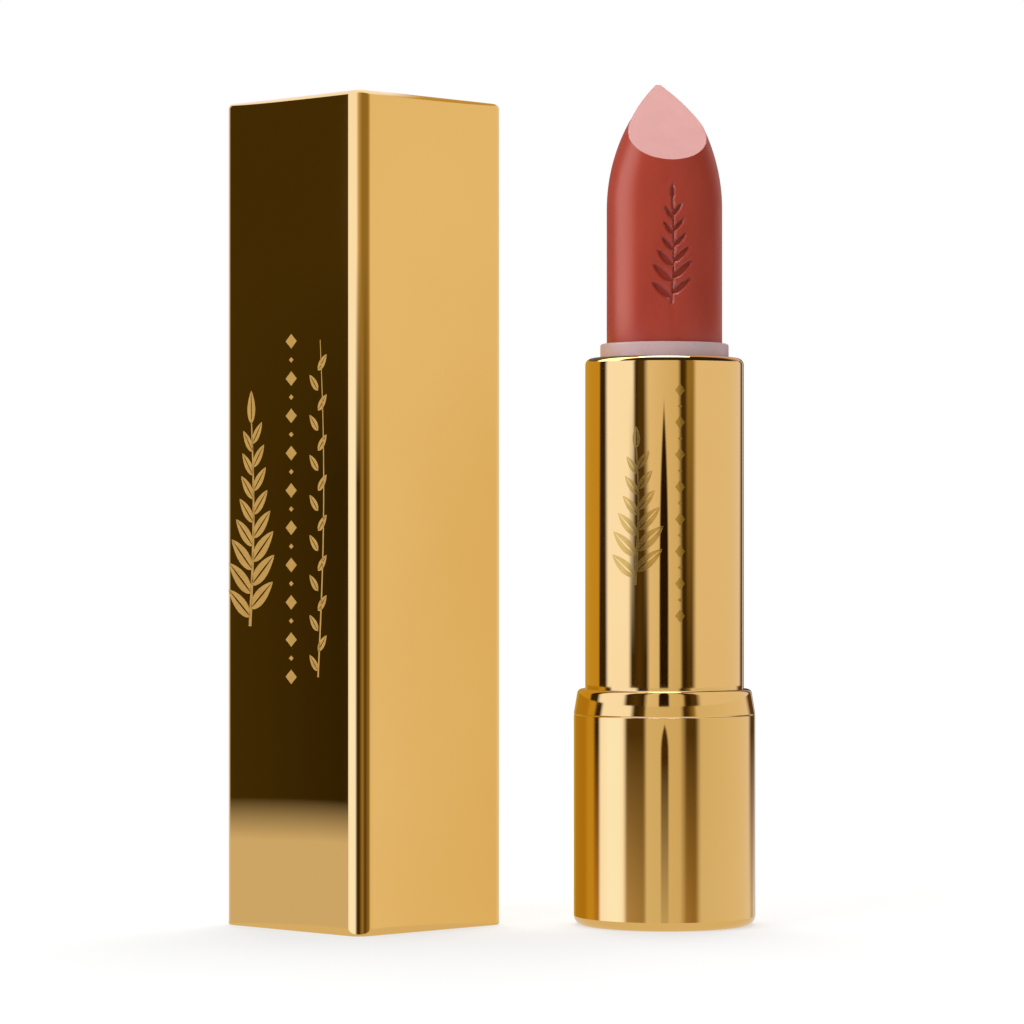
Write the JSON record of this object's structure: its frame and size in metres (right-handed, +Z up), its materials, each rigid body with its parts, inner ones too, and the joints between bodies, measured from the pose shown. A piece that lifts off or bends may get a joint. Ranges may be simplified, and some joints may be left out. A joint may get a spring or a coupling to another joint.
{
  "type": "twist-up lipstick with full-length case",
  "caption": "Twist-up lipstick in a gold tube, raised, beside its square full-length gold case standing mouth down; sleeve, cup, case and case ejector move.",
  "frame": {"origin": "centre of the lipstick's foot, on the surface it stands on", "axes": "+Z up along the lipstick's axis; the lipstick's front and the case's front corner face -Y; the case stands on the -X side"},
  "size_m": [0.0552, 0.0284, 0.0886],
  "materials": {
    "case_gold": "bright gold-anodised, polished, clear-coated",
    "sleeve_gold": "bright gold-anodised, polished",
    "collar_gold": "bright gold-anodised, polished",
    "base_gold": "bright gold-anodised, polished",
    "pomade": "soft matte wax, warm terracotta",
    "cup_plastic": "moulded, satin",
    "neck_plastic": "moulded, pale pinkish, satin",
    "cam_plastic": "moulded, satin",
    "core_plastic": "moulded, matt",
    "weight_steel": "turned",
    "label_film": "printed film, blank",
    "ring_rubber": "matt",
    "liner_plastic": "moulded, matt",
    "housing_plastic": "moulded, matt",
    "carriage_plastic": "moulded, satin",
    "grip_rubber": "soft, matt",
    "spring_steel": "drawn wire",
    "pin_steel": "bent wire",
    "clip_steel": "pressed leaf"
  },
  "bodies": {
    "base": {"base_shell": "base_gold", "shoulder_collar": "collar_gold", "base_core": "core_plastic", "base_weight": "weight_steel", "shade_label": "label_film", "slotted_inner_tube": "neck_plastic", "friction_ring": "ring_rubber"},
    "sleeve": {"outer_sleeve": "sleeve_gold", "cam_sleeve": "cam_plastic"},
    "cup": {"bullet_cup": "cup_plastic", "color_bullet": "pomade"},
    "case": {"case_shell": "case_gold", "case_liner": "liner_plastic", "latch_housing": "housing_plastic", "housing_cap": "housing_plastic", "pin_clip": "clip_steel"},
    "ejector": {"ejector_carriage": "carriage_plastic", "grip_ring": "grip_rubber", "ejector_spring": "spring_steel"},
    "latch_pin": {"latch_pin": "pin_steel"}
  },
  "joints": [
    {"name": "sleeve_twist", "type": "hinge", "parent": "base", "child": "sleeve", "pos_m": [0, 0, 0.03], "axis": [0, 0, 1], "range_deg": [0, 513]},
    {"name": "cup_slide", "type": "slide", "parent": "base", "child": "cup", "axis": [0, 0, 1], "range_m": [-0.0285, 0]},
    {"name": "case_lift", "type": "slide", "parent": "base", "child": "case", "axis": [0, 0, 1], "range_m": [0, 0.09]},
    {"name": "ejector_push", "type": "slide", "parent": "case", "child": "ejector", "axis": [0, 0, 1], "range_m": [0, 0.01], "stiffness_N_per_m": 250, "springref_m": -0.01, "deforming": ["ejector_spring"]},
    {"name": "pin_swing", "type": "hinge", "parent": "case", "child": "latch_pin", "pos_m": [-0.0315, -0.0074, 0.0805], "axis": [0, -1, 0], "range_deg": [0, 7]}
  ],
  "couplings": [
    {"joint": "cup_slide", "follows": "sleeve_twist", "m_per_rad": -0.0031831},
    {"joint": "pin_swing", "follows": "ejector_push", "rad_per_m": 12.217}
  ]
}
